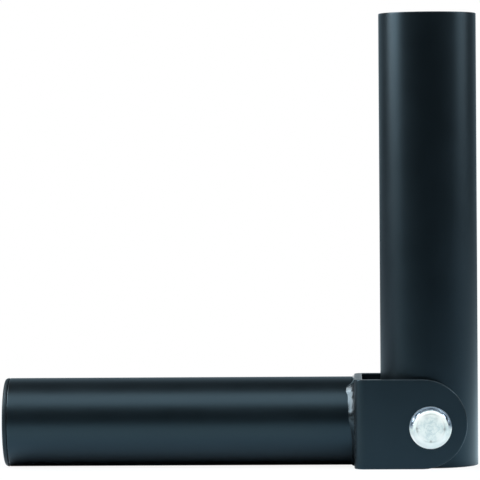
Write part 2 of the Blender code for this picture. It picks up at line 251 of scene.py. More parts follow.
class Shell:
    """Gathers the grids of one piece and makes them one closed mesh."""

    def __init__(self):
        self.points = []
        self.faces = []
        self.worn = []
        self.count = 0

    def add(self, grid, worn=0.0, wrap_rows=False, wrap_columns=True, keep=None):
        """Joins each point of a grid to its neighbours with quads, where keep is true."""
        rows, columns = grid.shape[:2]
        row = np.arange(rows if wrap_rows else rows - 1)
        column = np.arange(columns if wrap_columns else columns - 1)
        row, column = np.meshgrid(row, column, indexing="ij")
        next_row, next_column = (row + 1) % rows, (column + 1) % columns
        corners = [(row, column), (row, next_column), (next_row, next_column), (next_row, column)]
        quads = np.stack([r * columns + c for r, c in corners], -1)
        if keep is not None:
            quads = quads[keep]
        self.faces.append(quads.reshape(-1, 4) + self.count)
        self.points.append(grid.reshape(-1, 3))
        self.worn.append(np.broadcast_to(worn, (rows, columns)).ravel())
        self.count += rows * columns
        return self

    def piece(self, name, finish, body, slot, node, crease=38):
        """The closed mesh as a piece: doubles merged, faces outward, sharp past the crease angle."""
        points, faces = np.concatenate(self.points), np.concatenate(self.faces)
        mesh = bpy.data.meshes.new(name)
        mesh.from_pydata(points.tolist(), [], faces.tolist())
        worn = mesh.attributes.new("worn", "FLOAT", "POINT")
        worn.data.foreach_set("value", np.concatenate(self.worn).astype(np.float32))
        shape = bmesh.new()
        shape.from_mesh(mesh)
        bmesh.ops.remove_doubles(shape, verts=shape.verts, dist=0.002 * MM)
        bmesh.ops.recalc_face_normals(shape, faces=shape.faces)
        open_edges = sum(len(edge.link_faces) != 2 for edge in shape.edges)
        shape.to_mesh(mesh)
        shape.free()
        if open_edges:
            raise ValueError(f"{name} has {open_edges} open edges")
        mesh.shade_smooth()
        mesh.set_sharp_from_angle(angle=math.radians(crease))
        mesh.materials.append(finish)
        made = bpy.data.objects.new(name, mesh)
        bpy.context.scene.collection.objects.link(made)
        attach(made, body)
        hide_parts(node)
        return made


def turned(profile, centre, along, steps=STEPS):
    """A shell from a profile of (radius, height). One that starts off the axis is a closed loop."""
    closed = profile[0, 0] > 0
    grid = carried_round(profile[:, 0], profile[:, 1], centre, along, steps)
    return Shell().add(grid, corner_share(profile, closed)[:, None], wrap_rows=closed)


# Shader recipes


def scaled(colour, factor, lift=0.0):
    """A colour times a factor, or times a factor for each part, with a lift added to each part."""
    return tuple((np.array(colour) * factor + lift).tolist())


class Wire:
    """A socket that sums can be written with: each sign adds the Math node that works it out."""

    def __init__(self, recipe, socket):
        self.recipe = recipe
        self.socket = socket

    def maths(self, operation, *values):
        return self.recipe.add("ShaderNodeMath", {"operation": operation}, dict(enumerate(values)))

    def __add__(self, other):
        return self.maths("ADD", self, other)

    def __radd__(self, other):
        return self.maths("ADD", other, self)

    def __sub__(self, other):
        return self.maths("SUBTRACT", self, other)

    def __rsub__(self, other):
        return self.maths("SUBTRACT", other, self)

    def __mul__(self, other):
        return self.maths("MULTIPLY", self, other)

    def __rmul__(self, other):
        return self.maths("MULTIPLY", other, self)

    def __truediv__(self, other):
        return self.maths("DIVIDE", self, other)

    def __rtruediv__(self, other):
        return self.maths("DIVIDE", other, self)

    def __pow__(self, other):
        return self.maths("POWER", self, other)

    def sine(self):
        return self.maths("SINE", self)

    def larger(self, other):
        return self.maths("MAXIMUM", self, other)

    def step(self, low, high):
        """From 0 below low to 1 above high, with a soft start and end."""
        values = {"Value": self, "From Min": low, "From Max": high}
        return self.recipe.add("ShaderNodeMapRange", {"interpolation_type": "SMOOTHSTEP"}, values)

    def within(self, start, full, fade, end):
        """From 0 at start to 1 at full, and from 1 at fade back to 0 at end."""
        return self.step(start, full) * (1.0 - self.step(fade, end))


class Recipe:
    """The nodes of one material, or of the world."""

    def __init__(self, owner):
        owner.use_nodes = True
        self.owner = owner
        self.tree = owner.node_tree
        self.tree.nodes.clear()

    def add(self, kind, settings=None, values=None, output=0):
        """A node of a kind: its settings first, then the values or wires of its sockets."""
        node = self.tree.nodes.new(kind)
        for key, value in (settings or {}).items():
            setattr(node, key, value)
        for key, value in (values or {}).items():
            if isinstance(value, Wire):
                self.tree.links.new(value.socket, node.inputs[key])
            else:
                node.inputs[key].default_value = value
        return Wire(self, node.outputs[output]) if node.outputs else None

    def place(self):
        """Where a point lies on the object, in metres."""
        return self.add("ShaderNodeTexCoord", output="Object")

    def parts(self, vector):
        """The three parts of a vector."""
        node = self.add("ShaderNodeSeparateXYZ", None, {0: vector}).socket.node
        return [Wire(self, socket) for socket in node.outputs]

    def noise(self, grain, detail=2.0, rough=0.5, vector=None, warp=0.0):
        """Cloudy noise from 0 to 1 whose patches are about one grain across."""
        values = {"Vector": vector or self.place(), "Scale": 1 / grain, "Detail": detail}
        values.update({"Roughness": rough, "Distortion": warp})
        return self.add("ShaderNodeTexNoise", None, values)

    def stretched(self, scale):
        """The place with each of its parts scaled, for a grain that is longer one way."""
        values = {"Vector": self.place(), "Scale": scale}
        return self.add("ShaderNodeMapping", {"vector_type": "POINT"}, values)

    def specks(self, spacing, size):
        """Round specks in cells that lie spacing apart: 1 up to half their size and 0 past it."""
        values = {"Vector": self.place(), "Scale": 1 / spacing}
        far = self.add("ShaderNodeTexVoronoi", {"feature": "F1"}, values)
        return 1.0 - far.step(size / spacing * 0.5, size / spacing)

    def worn(self):
        """How worn the piece is here, from 0 to 1: its corners, and what its grids say."""
        return self.add("ShaderNodeAttribute", {"attribute_name": "worn"}, output="Fac")

    def blend(self, share, first, second):
        """One colour turned to another by a share from 0 to 1. Sockets 6 and 7 hold the colours."""
        first, second = (c if isinstance(c, Wire) else (*c, 1.0) for c in (first, second))
        return self.add("ShaderNodeMix", {"data_type": "RGBA"}, {0: share, 6: first, 7: second}, 2)

    def looking(self):
        """Whether a ray is the camera's, and whether it left a glossy or clear surface: 0 or 1."""
        seen = self.add("ShaderNodeLightPath", output="Is Camera Ray")
        outputs = seen.socket.node.outputs
        return seen, Wire(self, outputs["Is Glossy Ray"]) + Wire(self, outputs["Is Transmission Ray"])

    def bumped(self, height):
        """A normal from a height in metres."""
        values = {"Strength": 1.0, "Distance": 1.0, "Height": height}
        return self.add("ShaderNodeBump", None, values)

    def shown(self, values):
        """The surface shader with its values or wires, joined to the output."""
        shader = self.add("ShaderNodeBsdfPrincipled", None, values)
        self.add("ShaderNodeOutputMaterial", None, {"Surface": shader})
        return self.owner


def new_recipe(name):
    """The empty recipe of a new material."""
    return Recipe(bpy.data.materials.new(name))


def powder_coat(name, colour, roughness, peel=1.0, pooled=None):
    """Satin powder coat: orange peel in two grains, cloudy gloss, a few specks, worn paler corners.

    The tint cools the reflections, as the clear binder over a blue-black pigment does. Where the
    coat has pooled, from one height to another, it has a second gloss.
    """
    recipe = new_recipe(name)
    coarse = recipe.noise(1.9 * MM, 1.5)
    fine = recipe.noise(0.55 * MM, 1.0)
    cloud = recipe.noise(26 * MM, 3.0)
    streak = recipe.noise(7 * MM, 2.0, vector=recipe.stretched((0.35, 1.0, 0.35)))
    speck = recipe.specks(5.5 * MM, 0.32 * MM)
    # Paler where worn: at corners by real wear, and beside the clevis's weld as a painted highlight
    rubbed_and_painted_highlight = (recipe.worn() * 0.85 + recipe.noise(3 * MM, 3.0) * 0.5 - 0.25).step(0.35, 0.95)
    height = (coarse * 0.016 + fine * 0.006) * (peel * MM) + speck * (0.012 * MM)
    shade = (cloud * 0.6 + streak * 0.4).step(0.3, 0.7)
    base = recipe.blend(shade, scaled(colour, 0.86), scaled(colour, 1.14))
    base = recipe.blend(rubbed_and_painted_highlight * 0.55, base, scaled(colour, 1.8, 0.014))
    base = recipe.blend(speck * 0.25, base, scaled(colour, 2.2, 0.01))
    rough = roughness + (cloud - 0.5) * 0.10 + (fine - 0.5) * 0.06 - rubbed_and_painted_highlight * 0.15
    look = {
        "Base Color": base,
        "Roughness": rough,
        "IOR": 1.54,
        "Specular Tint": (0.47, 0.79, 1.0, 1.0),
        "Normal": recipe.bumped(height),
    }
    if pooled:
        pool = recipe.parts(recipe.place())[2].step(*pooled)
        look["Roughness"] = rough - pool * 0.10
        look["Coat Weight"] = pool * 0.45
        look["Coat Roughness"] = 0.22
    return recipe.shown(look)


def moulded_plastic():
    """Black plug: a spark-eroded grain with faint flow marks and scuffed corners."""
    dark, light, scuff = (0.0024, 0.0034, 0.0040), (0.0038, 0.0052, 0.0060), (0.012, 0.016, 0.018)
    recipe = new_recipe("moulded_plastic")
    grain = recipe.noise(0.34 * MM, 2.0, 0.6)
    flow = recipe.noise(5 * MM, 2.0, vector=recipe.stretched((1.0, 1.0, 0.4)), warp=1.5)
    scuffed = (recipe.worn() + recipe.noise(1.6 * MM, 3.0) - 0.6).step(0.3, 0.9)
    base = recipe.blend(flow.step(0.35, 0.65), dark, light)
    return recipe.shown(
        {
            "Base Color": recipe.blend(scuffed * 0.5, base, scuff),
            "Roughness": 0.50 + (grain - 0.5) * 0.2 - scuffed * 0.08 + (flow - 0.5) * 0.1,
            "IOR": 1.40,
            "Specular Tint": (0.50, 0.80, 1.0, 1.0),
            "Normal": recipe.bumped(grain * (0.018 * MM)),
        }
    )


def zinc_plate(name, colour, roughness, metallic, burnished=None):
    """Bright zinc: forging dimples, rings and swirls about the hinge axis, cloudy plating, pits.

    burnished holds two radii of the bolt's head. Between them, on its upper half only, the metal is
    smooth and a darker blue: a painted reflection of the dark space overhead, with a darker and duller
    band at the flange's edge as painted shade. Inside them the crown is frosted, and paler on its
    diagonals, where (2 x z / r^2)^2 is largest, and along its lower rim, where the paler colour is a
    painted highlight.
    """
    # The paler colour serves the crown's diagonals and the painted highlight on its lower rim
    shadow, pale_and_painted_highlight = (0.66, 0.74, 0.77), (0.95, 0.98, 0.93)
    # The first colour is the dark blue of the ring's painted reflection, and edge that of its painted
    # shade band
    painted_reflection_tint, edge, polish_rough = (0.50, 0.64, 0.78), (0.20, 0.27, 0.34), 0.2
    recipe = new_recipe(name)
    x, _, z = recipe.parts(recipe.place())
    beside, above = x - float(pivot[0]), z - float(pivot[2])
    far = (beside**2 + above**2) ** 0.5
    cloud = recipe.noise(4.2 * MM, 4.0, 0.6)
    fine = recipe.noise(0.7 * MM, 3.0, 0.6)
    dents = recipe.noise(2.6 * MM, 1.0)
    rings = (far * (math.tau / (0.62 * MM)) + recipe.noise(6 * MM) * 9.0).sine()
    swirl = (far * (math.tau / (2.6 * MM)) + recipe.noise(2.8 * MM) * 15.0).sine()
    pits = recipe.specks(1.9 * MM, 0.30 * MM)
    shade = (cloud * 0.80 + fine * 0.3 + swirl * 0.06 - 0.02).step(0.3, 0.7)
    base = recipe.blend(shade, scaled(colour, shadow), colour)
    base = recipe.blend(pits * 0.35, base, scaled(colour, 0.45))
    # Darker where the worn attribute is high: at the corners and in the press marks
    base = recipe.blend(recipe.worn() * 0.75, base, scaled(colour, 0.22))
    height = dents * 0.05 + fine * 0.006 + rings * 0.0012 - pits * 0.012
    rough = roughness + (cloud - 0.5) * 0.22 + (fine - 0.5) * 0.08
    metal = metallic
    if burnished:
        inner, outer = burnished
        pressed = far.within(inner - 0.6 * MM, inner - 0.1 * MM, outer, outer + 0.2 * MM)
        # Painted reflection: only the upper half of the ring is made a dark blue mirror
        polish_and_painted_reflection = pressed * above.step(-0.15 * inner, 0.25 * inner)
        # Painted shade: a darker, duller band along the flange's edge, on the upper half
        painted_shade_band = polish_and_painted_reflection * far.step(0.94 * outer, 0.97 * outer)
        across = beside * above * 2.0 / (far * far + 0.0001 * MM)
        diagonal = across**2 * far.within(0.40 * inner, 0.80 * inner, 0.80 * inner, inner)
        # Painted highlight: the crown's lower rim is made paler
        painted_low_highlight = far.step(0.76 * inner, 0.88 * inner) * (1.0 - above.step(-0.7 * inner, -0.1 * inner))
        base = recipe.blend(diagonal.larger(painted_low_highlight), base, pale_and_painted_highlight)
        base = recipe.blend(polish_and_painted_reflection, base, painted_reflection_tint)
        base = recipe.blend(painted_shade_band, base, edge)
        metal = metallic + polish_and_painted_reflection * (1.0 - metallic)
        rough = rough - polish_and_painted_reflection * (roughness - polish_rough) + painted_shade_band * 0.3
        height = height * (1.0 - polish_and_painted_reflection * 0.9)
    return recipe.shown(
        {
            "Base Color": base,
            "Metallic": metal,
            "Roughness": rough,
            "Normal": recipe.bumped(height * MM),
        }
    )


def nylon():
    """Natural nylon of the locking ring, cloudy and a little waxy."""
    recipe = new_recipe("nylon")
    cloud = recipe.noise(1.2 * MM, 3.0)
    return recipe.shown(
        {
            "Base Color": recipe.blend(cloud.step(0.3, 0.7), (0.55, 0.60, 0.64), (0.68, 0.72, 0.76)),
            "Roughness": 0.42 + (cloud - 0.5) * 0.2,
            "Normal": recipe.bumped(cloud * (0.02 * MM)),
        }
    )


# Pieces


def make_post(coat):
    """Post tube: a section with a rounded lip at its free end and a weld groove at its foot."""
    length = post_high.x - post_low.x
    bore = post_radius - POST_WALL
    groove_depth, groove_length = 0.8 * MM, 1.0 * MM
    section = join(
        run((post_radius - groove_depth, 0.0), (post_radius, groove_length), 2),
        run((post_radius, groove_length), (post_radius, length - TUBE_LIP), 40),
        arc((post_radius - TUBE_LIP, length - TUBE_LIP), TUBE_LIP, 0, 90),
        arc((bore + TUBE_LIP, length - TUBE_LIP), TUBE_LIP, 90, 180),
        run((bore, length - TUBE_LIP), (bore, 0.0), 20),
        run((bore, 0.0), (post_radius - groove_depth, 0.0)),
        closed=True,
    )
    shell = turned(section, (post_high.x, 0, post_axis_z), "-X")
    shell.piece("post_shell", coat, "base", "powder_coat", "post_tube")


def make_post_bead(coat):
    """Weld bead round the post's foot, widest high on each side, where the welder began.

    Round the post by an angle t, the bead's face goes from its toe on the post to its crest on the
    strip. Its leg along the post, its rise from it and its hollow are sums of eased steps of the
    height angle asin(sin t). A sine carries the hollow across the face, and faint scallops ride
    on it. The root fills the post's groove. No point rises past the strip's edges.
    """
    steps, rows = 720, 18
    # Each step: its size, the height angle where it begins and how many degrees it takes
    leg_steps = ((1.8, -22, 34), (0.2, 21, 8), (0.9, 37, 8), (-3.3, 52, 13))
    rise_steps = ((0.5, -35, 35), (0.4, 5, 10), (0.15, 33, 8))
    hollow_steps = ((0.06, 8, 12), (-0.02, 34, 8))
    scallop_pitch, root_depth, root_end = 1.9 * MM, 0.7 * MM, 0.9 * MM
    turn = full_turn(steps)
    lift = np.degrees(np.arcsin(np.sin(turn)))
    wander = 1 + 0.02 * np.sin(5 * turn + 1.0) + 0.015 * np.sin(13 * turn + 2.2)
    leg = stepped(1.4, leg_steps, lift) * wander * MM
    rise = stepped(2.0, rise_steps, lift) * MM
    hollow = stepped(0.0, hollow_steps, lift)
    share = np.linspace(0, 1, rows)[:, None]
    swell = np.sin(math.pi * share)
    way = turn * post_radius / scallop_pitch * math.pi
    scallop = np.abs(np.sin(way / 2 + 9.6 * (share - 0.45) ** 2 + 0.8 * np.sin(3 * turn)))
    ripple = (0.018 * scallop + 0.006 * np.sin(31 * turn)) * MM
    proud = swell * (ripple - leg * hollow)
    root_radius = [np.full(steps, post_radius - root_depth), np.full(steps, post_radius - 0.1 * MM)]
    root_height = [np.full(steps, SEAM), np.full(steps, root_end)]
    radius = np.concatenate([post_radius + SEAM + rise * share + proud, root_radius])
    radius = np.minimum(radius, post_radius / np.maximum(np.abs(np.sin(turn)), 0.5))
    height = np.concatenate([SEAM + leg * (1 - share) + proud, root_height])
    grid = carried_round(radius, height, (strip_low.x, 0, post_axis_z), "-X", steps)
    worn = np.append(0.35 * swell[:, 0], [0, 0])[:, None]
    shell = Shell().add(grid, worn, wrap_rows=True)
    shell.piece("post_bead", coat, "base", "powder_coat", "post_weld", crease=60)


def make_end_plug(plastic):
    """Plug of the post: rounded flange with a gate dimple, gripping ribs and a hollow back."""
    flange, edge, back_edge = 2.4 * MM, 1.9 * MM, 0.1 * MM
    dimple, dimple_depth = 1.5 * MM, 0.30 * MM
    rib_count, rib_climb, rib_land, rib_fall = 5, 0.45 * MM, 0.45 * MM, 0.9 * MM
    wall, end_break, fillet = 1.8 * MM, 0.4 * MM, 1.0 * MM
    length = cap_high.x - cap_low.x
    rib = post_radius - POST_WALL - JOINT_GAP
    body = rib - 1.1 * MM
    hollow = body - wall
    pitch = (length - flange) / (rib_count + 0.5)
    ribs = []
    for number in range(rib_count):
        foot = flange + pitch * (number + 0.75)
        crest = foot + rib_climb
        ribs += [
            run((body, foot), (rib, crest)),
            run((rib, crest), (rib, crest + rib_land)),
            run((rib, crest + rib_land), (body, crest + rib_land + rib_fall)),
        ]
    section = join(
        run((0.0, dimple_depth), (dimple, dimple_depth)),
        arc((dimple, 0.0), dimple_depth, 90, 0, 4),
        run((dimple + dimple_depth, 0.0), (post_radius - edge, 0.0), 8),
        arc((post_radius - edge, edge), edge, -90, 0, 12),
        run((post_radius, edge), (post_radius, flange - back_edge)),
        arc((post_radius - back_edge, flange - back_edge), back_edge, 0, 90, 3),
        run((post_radius - back_edge, flange), (body, flange), 2),
        *ribs,
        run((body, length - end_break), (body - end_break, length)),
        run((body - end_break, length), (hollow, length)),
        run((hollow, length), (hollow, flange + fillet), 4),
        arc((hollow - fillet, flange + fillet), fillet, 0, -90, 4),
        run((hollow - fillet, flange), (0.0, flange), 4),
    )
    shell = turned(section, (cap_low.x, 0, post_axis_z), "+X")
    shell.piece("end_plug", plastic, "base", "black_plastic", "post_end_cap")


def make_clevis(coat):
    """Clevis: a strip with full-round noses, bent to a U, with the hinge's two holes.

    The blank is laid out flat, s along its middle and z across it, and bent by a formula. Its
    outline runs along the top, round a nose, back along the foot and round the other nose. An edge
    section carries the outline from the outer face to the inner one, and grids fill the two faces.
    The front cheek, where s is below 0, has the square hole. The coat is thinner, and so reads as
    worn, along the edges. On the outside of the bends beside the weld it is made paler: a painted
    highlight.
    """
    edge, hole_edge, guard = 0.55 * MM, 0.25 * MM, 0.3 * MM
    worn_reach, edge_worn, hole_worn = 0.8 * MM, 0.7, 0.3
    half = STRIP / 2
    mid_radius = 1.6 * MM + half
    web_half = strip_high.y - half - mid_radius
    bend_end = web_half + mid_radius * math.pi / 2
    nose = strip_height / 2
    nose_at = bend_end + strip_high.x - nose - mid_radius
    hole_centre = (bend_end + pivot[0] - mid_radius, pivot[2])

    def bent(s, z, out):
        """Flat on the web, then a quarter turn of the mid radius, then flat along the cheek."""
        far = np.abs(s)
        turn = np.clip((far - web_half) / mid_radius, 0, math.pi / 2)
        x = mid_radius - (mid_radius + out) * np.cos(turn) + np.maximum(far - bend_end, 0)
        y = np.minimum(far, web_half) + (mid_radius + out) * np.sin(turn)
        return np.stack([x, np.where(s < 0, -y, y), z + np.zeros_like(x)], -1)

    web = np.append(np.linspace(0, web_half, 14), web_half - guard)
    bend = np.linspace(web_half, bend_end, 19)
    middle = np.unique(np.round(np.concatenate([web, bend]), 9))
    middle = np.concatenate([-middle[:0:-1], middle])
    cheek = np.append(np.linspace(bend_end, nose_at, 16), bend_end + guard)
    cheek = np.round(np.sort(cheek), 9)

    def cheek_line(inset):
        """The free outline of one cheek: top edge outwards, nose, foot edge back, as (s, z)."""
        tip = arc((nose_at, nose), nose - inset, 90, -90, 120)
        return join(level(cheek, strip_height - inset), tip, level(cheek[::-1], inset))

    def outline(inset):
        """The whole outline of the blank, closed."""
        front = cheek_line(inset)
        back = front[::-1] * (-1, 1)
        top, foot = level(middle, strip_height - inset), level(middle[::-1], inset)
        return join(top, front, foot, back, closed=True)

    section = join(
        arc((edge, half - edge), edge, 90, 180, 5),
        run((0.0, half - edge), (0.0, edge - half), 2),
        arc((edge, edge - half), edge, 180, 270, 5),
    )
    rim = np.stack([bent(*outline(inset).T, out) for inset, out in section])
    shell = Shell().add(rim, corner_share(section, False)[:, None].clip(0.5, 1))

    across = run((0, edge), (0, strip_height - edge), 20)[:, 1]
    from_edge = np.minimum(across - edge, strip_height - edge - across)
    s, z = np.meshgrid(middle, across, indexing="ij")
    web_worn = edge_worn * bell(from_edge, worn_reach)[None, :]
    # Painted highlight: the outside of each bend beside the weld is made paler, through the worn
    # attribute
    painted_highlight_by_weld = bell(np.abs(s) - web_half - 1.0 * MM, 1.8 * MM)
    free = cheek_line(edge)
    loop = join(free, upright(bend_end, across), closed=True)
    # The loop's points along the bend aren't an edge, so they count as far from one
    on_bend = 5 * MM * (np.arange(len(loop)) >= len(free) - 1)
    holes = ((-1, squared), (1, rounded))
    for out in (half, -half):
        worn = np.maximum(web_worn, painted_highlight_by_weld * (out > 0))
        shell.add(bent(s, z, out), worn, wrap_columns=False)
        for way, shape in holes:
            grid = ringed(loop, hole_centre, shape, HOLE_RADIUS + hole_edge, 14)
            gap = np.linalg.norm(grid - loop, axis=-1) + on_bend
            face = bent(way * grid[..., 0], grid[..., 1], out)
            shell.add(face, edge_worn * bell(gap, worn_reach))

    hole_wall = join(
        arc((hole_edge, half - hole_edge), hole_edge, 90, 180, 3),
        arc((hole_edge, hole_edge - half), hole_edge, 180, 270, 3),
    )
    for way, shape in holes:
        rows = []
        for inset, out in hole_wall:
            ring = ringed(loop, hole_centre, shape, HOLE_RADIUS + inset, 1)[0]
            rows.append(bent(way * ring[:, 0], ring[:, 1], out))
        shell.add(np.stack(rows), hole_worn)
    shell.piece("clevis", coat, "base", "powder_coat", "clevis_bracket")


def head_profile(seat):
    """The cup head from its top to its seat, as (radius, way down).

    The crown is a shallow arc from level to a slight slope, and the shoulder a tight one to a
    steep slope. A straight step follows, then a thin flange with a rounded edge.
    """
    level_slope, crown_slope, shoulder_slope = np.radians([0, 5, 57])
    flange_edge, seat_edge = 0.2 * MM, 0.12 * MM
    lean = np.linspace(level_slope, crown_slope, 42)
    crown = np.stack([np.sin(lean), 1 - np.cos(lean)], 1) * crown_radius / math.sin(crown_slope)
    lean = np.linspace(crown_slope, shoulder_slope, 26)
    shoulder = np.stack([np.sin(lean) - np.sin(lean[0]), np.cos(lean[0]) - np.cos(lean)], 1)
    shoulder *= (shoulder_radius - crown_radius) / (math.sin(shoulder_slope) - math.sin(crown_slope))
    shoulder += crown[-1]
    step_foot = shoulder[-1, 1] + (flange_radius - shoulder_radius) * math.tan(shoulder_slope)
    flange_top = step_foot + 0.16 * MM
    return join(
        crown,
        shoulder,
        run(shoulder[-1], (flange_radius, step_foot), 6),
        run(
            (flange_radius + 0.08 * MM, step_foot + 0.06 * MM),
            (head_radius - flange_edge, flange_top),
            3,
        ),
        arc((head_radius - flange_edge, flange_top + flange_edge), flange_edge, -90, 0, 6),
        run((head_radius, flange_top + flange_edge), (head_radius, seat - seat_edge)),
        run((head_radius - seat_edge, seat), (BOLT_RADIUS * 1.45, seat), 4),
    )


def make_bolt(zinc):
    """Cup head bolt: pressed head, squared neck, plain shank and a rolled thread.

    From the top of its head down, every row has a radius for each angle. The neck is a square with
    soft corners. Along the thread the radius falls by a triangle wave of (way down / pitch - turn),
    which runs out at the thread's start. Bells sink the press marks and a faint ring into the
    crown, and 1 + 0.024 cos(8 turn) leaves eight faint facets on the shoulder.
    """
    steps = 192
    neck_gap, thread_length, thread_depth = 0.6 * MM, 17 * MM, 0.85 * MM
    runout_length, tip_chamfer, mark_depth = 2 * MM, 1.1 * MM, 0.16 * MM
    facet_depth, facets, facet_turn = 0.024, 8, 0.5
    turn = full_turn(steps)
    length = bolt_high.y - bolt_low.y
    seat = strip_low.y - JOINT_GAP - bolt_low.y
    head = head_profile(seat)
    neck_end = seat + JOINT_GAP + STRIP
    neck = np.linspace(seat, neck_end, 8)
    shank = np.linspace(neck_end + neck_gap, length - thread_length - 0.2 * MM, 12)
    thread = np.arange(length - thread_length, length - 0.02 * MM, THREAD_PITCH / 12)
    wave = np.clip(thread_wave(thread, turn) * 1.25 - 0.12, 0, 1)
    runout = eased((thread[:, None] - thread[0]) / runout_length)
    chamfer = BOLT_RADIUS - np.maximum(thread[:, None] - (length - tip_chamfer), 0)
    plain = np.ones((1, steps))
    radius = np.concatenate(
        [
            head[:, :1] * plain,
            np.repeat(squared(turn, BOLT_RADIUS)[None], len(neck), 0),
            np.full((len(shank), steps), BOLT_RADIUS),
            np.minimum(BOLT_RADIUS - thread_depth * wave * runout, chamfer),
            plain * (BOLT_RADIUS - tip_chamfer - thread_depth * 0.6),
            plain * 0.0,
        ]
    )
    height = np.concatenate([head[:, 1], neck, shank, thread, [length, length]])[:, None] * plain

    faint_ring = 0.5 * bell(head[:, 0] - 0.66 * head_radius, 0.30 * MM) * (head[:, 1] < 2 * MM)
    marked = np.zeros(radius.shape)
    marked[: len(head)] = faint_ring[:, None]
    for hour, reach, wide, deep in PRESS_MARKS:
        way = math.radians(90 - 30 * hour)
        aside = radius * np.cos(turn) - reach * head_radius * math.cos(way)
        above = radius * np.sin(turn) - reach * head_radius * math.sin(way)
        marked[: len(head)] += deep * bell(np.hypot(aside, above), wide * MM)[: len(head)]
    marked = np.where(height < 3 * MM, marked.clip(0, 1), 0)

    on_shoulder = bell(radius - shoulder_radius, 1.1 * MM) * (height < 4 * MM)
    on_shoulder *= eased((flange_radius - radius) / (0.8 * MM))
    faceted = 1 + facet_depth * np.cos(facets * turn + facet_turn) * on_shoulder
    radius = np.minimum(radius * faceted, head_radius)
    centre = (pivot[0], bolt_low.y, pivot[2])
    grid = carried_round(radius, height + mark_depth * marked, centre, "+Y", steps)
    shell = Shell().add(grid, marked)
    shell.piece("cup_bolt", zinc, "base", "zinc_plate", "pivot_bolt", crease=34)


def make_washer(zinc):
    """Plain washer: one punched edge is rounder than the other."""
    bore, outer = HOLE_RADIUS, (washer_high.x - washer_low.x) / 2
    thick = washer_high.y - washer_low.y
    sharp_edge, round_edge, bore_edge = 0.1 * MM, 0.5 * MM, 0.3 * MM
    section = join(
        run((outer, sharp_edge), (outer, thick - round_edge)),
        arc((outer - round_edge, thick - round_edge), round_edge, 0, 90, 8),
        run((outer - round_edge, thick), (bore + bore_edge, thick), 4),
        arc((bore + bore_edge, thick - bore_edge), bore_edge, 90, 180, 5),
        run((bore, thick - bore_edge), (bore, sharp_edge)),
        run((bore + sharp_edge, 0.0), (outer - sharp_edge, 0.0), 4),
        closed=True,
    )
    shell = turned(section, (pivot[0], washer_low.y, pivot[2]), "+Y", 160)
    shell.piece("washer", zinc, "base", "zinc_plate", "nut_washer")


def make_lock_nut(zinc):
    """Lock nut: a soft-cornered hexagon inside a chamfer cone, a round collar turned in at its top.

    The hexagon's reach is its half width / (sum of max(0, cos(turn - side))^n)^(1/n) over six sides,
    and each row takes the smaller of that and the cone. Inside, a triangle wave cuts the thread.
    """
    steps, half, sides, soft = 192, 8.5 * MM, 6, 70
    turn = full_turn(steps)
    height = nut_high.y - nut_low.y
    facing = np.cos(turn[:, None] - full_turn(sides)).clip(0, 1)
    hexagon = half / (facing**soft).sum(1) ** (1 / soft)
    collar, collar_foot, collar_bend = half - 1.0 * MM, height - 3.4 * MM, 1.3 * MM
    flank = np.concatenate(
        [
            np.linspace(0, 1.6 * MM, 14),
            np.linspace(2 * MM, collar_foot - 1.4 * MM, 5),
            np.linspace(collar_foot - 1.2 * MM, collar_foot, 14),
        ]
    )
    low_cone = half - 0.5 * MM + flank * 1.5
    high_cone = half - 0.6 * MM + (collar_foot - flank) * 1.6
    outer = np.minimum(hexagon, np.minimum(low_cone, high_cone)[:, None])
    # The lip turned in over the nylon ring, and the ring's groove under it
    lip, lip_thick = HOLE_RADIUS + 1.15 * MM, 0.4 * MM
    groove, groove_foot = HOLE_RADIUS + 1.7 * MM, height - 3.6 * MM
    top = join(
        run((collar, collar_foot + 0.25 * MM), (collar, height - collar_bend), 2),
        arc((collar - collar_bend, height - collar_bend), collar_bend, 0, 90, 10),
        run((collar - collar_bend, height), (lip, height)),
        run((lip, height - lip_thick), (groove, height - lip_thick)),
        run((groove, height - lip_thick), (groove, groove_foot)),
        run((groove, groove_foot), (HOLE_RADIUS + 0.1 * MM, groove_foot)),
    )
    thread_depth, mouth_depth = 0.35 * MM, 0.4 * MM
    bore = np.arange(groove_foot - 0.1 * MM, mouth_depth + 0.2 * MM, -THREAD_PITCH / 8)
    inner = HOLE_RADIUS + thread_depth * thread_wave(bore, turn)
    mouth = run((HOLE_RADIUS + thread_depth, mouth_depth), (HOLE_RADIUS + 0.6 * MM, 0.0))
    plain = np.ones((1, steps))
    radius = np.concatenate([outer, top[:, :1] * plain, inner, mouth[:, :1] * plain])
    heights = np.concatenate([flank, top[:, 1], bore, mouth[:, 1]])
    grid = carried_round(radius, heights, (pivot[0], nut_low.y, pivot[2]), "+Y", steps)
    shell = Shell().add(grid, 0.2, wrap_rows=True)
    shell.piece("nut", zinc, "base", "zinc_plate", "lock_nut", crease=24)


def make_lock_ring(finish):
    """Nylon ring under the nut's lip."""
    outer = (ring_high.x - ring_low.x) / 2
    section = ring_section(HOLE_RADIUS, outer, 0.0, ring_high.y - ring_low.y, 0.25 * MM)
    shell = turned(section, (pivot[0], ring_low.y, pivot[2]), "+Y", 128)
    shell.piece("nylon_ring", finish, "base", "nylon", "lock_nut_ring")


